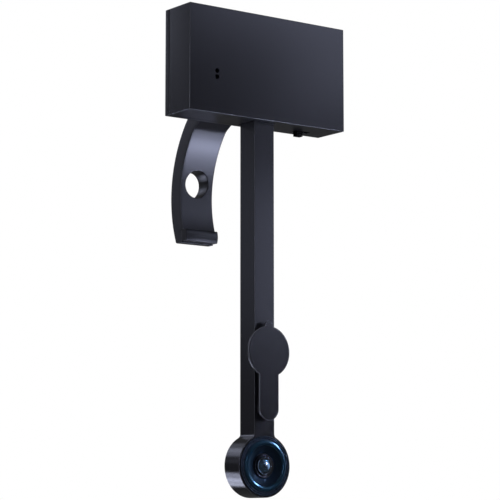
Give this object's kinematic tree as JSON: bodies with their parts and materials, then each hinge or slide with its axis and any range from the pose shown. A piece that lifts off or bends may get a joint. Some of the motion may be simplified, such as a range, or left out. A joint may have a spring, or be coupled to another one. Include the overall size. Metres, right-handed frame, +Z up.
{
  "type": "monitor-hung camera",
  "caption": "Slim box that sits on a screen's top edge, with a hinged rear hook, a sliding drop arm in front, a round lens head with a swing cover, and a slide switch below.",
  "frame": {"origin": "middle of the rear cover's flat underside, where the box rests on a screen's top edge", "axes": "+Z up along the drop arm, -Y towards the front where the lens looks, +X to the right seen from the front"},
  "size_m": [0.072, 0.0536, 0.1794],
  "materials": {
    "shell": "satin blue-black moulded plastic",
    "cover_plate": "satin blue-black moulded plastic",
    "hook_strip": "smooth satin blue-black plastic",
    "hook_pad": "matte dark rubber",
    "knob": "matte black plastic",
    "bezel": "glossy blue-black plastic",
    "lens_black": "black anodised look, slightly glossy",
    "lens_glass": "coated lens glass",
    "slide_plastic": "natural acetal plastic",
    "rubber": "matte black rubber",
    "spring_steel": "bright spring steel",
    "plated_steel": "nickel-plated steel",
    "black_steel": "black oxide steel",
    "washer_plastic": "dark acetal plastic",
    "circuit_board": "green solder mask",
    "chip": "black moulded epoxy",
    "cable": "amber polyimide film"
  },
  "bodies": {
    "housing": {"housing_shell": "shell", "rear_cover": "shell", "arm_guide": "slide_plastic", "brake_pad": "rubber", "microphone_gasket": "rubber", "brake_spring": "spring_steel", "usb_socket": "plated_steel", "switch_body": "plated_steel", "microphone_upper": "plated_steel", "microphone_lower": "plated_steel", "hinge_bracket": "black_steel", "rear_screw_low_left": "black_steel", "rear_screw_low_right": "black_steel", "rear_screw_top_left": "black_steel", "rear_screw_top_right": "black_steel", "board_screw_upper": "black_steel", "board_screw_lower": "black_steel", "bracket_screw_left": "black_steel", "bracket_screw_right": "black_steel", "microphone_screw": "black_steel", "main_board": "circuit_board", "microphone_board": "circuit_board", "image_processor": "chip", "ribbon_socket": "chip", "usb_tongue": "chip", "ribbon_loop": "cable", "microphone_lead": "cable"},
    "arm": {"arm_shell": "shell", "arm_back_cover": "shell", "back_cover_screw_left": "black_steel", "back_cover_screw_right": "black_steel", "arm_stop": "slide_plastic", "ribbon_cable": "cable", "camera_socket": "chip", "bezel_ring": "bezel", "lens_baffle": "lens_black", "lens_barrel": "lens_black", "front_lens": "lens_glass", "rear_lens": "lens_glass", "lens_holder": "lens_black", "filter_glass": "lens_glass", "image_sensor": "chip", "camera_board": "circuit_board"},
    "cover": {"lens_cover": "cover_plate", "cover_post": "shell", "cover_washer": "spring_steel", "cover_screw": "black_steel"},
    "hook": {"hook": "hook_strip", "hook_pad": "hook_pad", "hinge_pin": "black_steel", "hinge_nut": "black_steel", "friction_washer_left": "washer_plastic", "friction_washer_right": "washer_plastic"},
    "switch": {"switch_knob": "knob"}
  },
  "joints": [
    {"name": "arm_slide", "type": "slide", "parent": "housing", "child": "arm", "axis": [0, 0, 1], "range_m": [0, 0.02], "deforming": ["ribbon_loop"]},
    {"name": "cover_swing", "type": "hinge", "parent": "arm", "child": "cover", "pos_m": [0, -0.0145, -0.10698], "axis": [0, 1, 0], "range_deg": [0, 180]},
    {"name": "hook_hinge", "type": "hinge", "parent": "housing", "child": "hook", "pos_m": [0, 0.0085, 0.01685], "axis": [1, 0, 0], "range_deg": [-25, 40]},
    {"name": "switch_slide", "type": "slide", "parent": "housing", "child": "switch", "axis": [1, 0, 0], "range_m": [0, 0.0032]}
  ]
}
